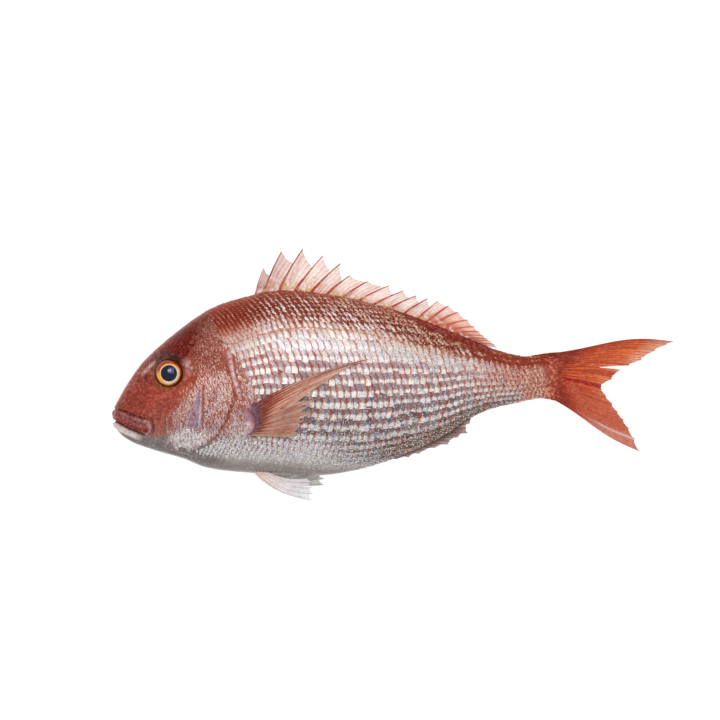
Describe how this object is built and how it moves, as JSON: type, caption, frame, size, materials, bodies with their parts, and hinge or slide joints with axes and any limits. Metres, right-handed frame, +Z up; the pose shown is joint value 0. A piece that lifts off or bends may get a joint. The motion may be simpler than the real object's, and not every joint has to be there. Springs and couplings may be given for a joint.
{
  "type": "whole raw sea bream",
  "caption": "Whole raw red sea bream lying on its side, with a scaled trunk, spiny back fin, forked tail, breast, belly and anal fins, eyes and shut mouth.",
  "frame": {"origin": "middle of the bounding box, on the surface that the fish lies on", "axes": "+X from the snout to the tail, +Y from the belly to the back, +Z up through the left flank"},
  "size_m": [0.351, 0.1576, 0.0465],
  "materials": {
    "skin": "wet silvery scales, red on the back and silver-white on the belly",
    "red_fin": "wet red-orange fin skin over fine rays",
    "pale_fin": "wet pinkish-white fin skin over spines and rays",
    "eye": "clear gloss over a golden iris and a dark pupil"
  },
  "bodies": {
    "root": {"trunk": "skin", "left_eye": "eye", "right_eye": "eye", "dorsal_fin": "pale_fin", "tail_fin": "red_fin", "anal_fin": "pale_fin", "left_pectoral_fin": "red_fin", "right_pectoral_fin": "red_fin", "left_pelvic_fin": "pale_fin", "right_pelvic_fin": "pale_fin"}
  },
  "joints": []
}
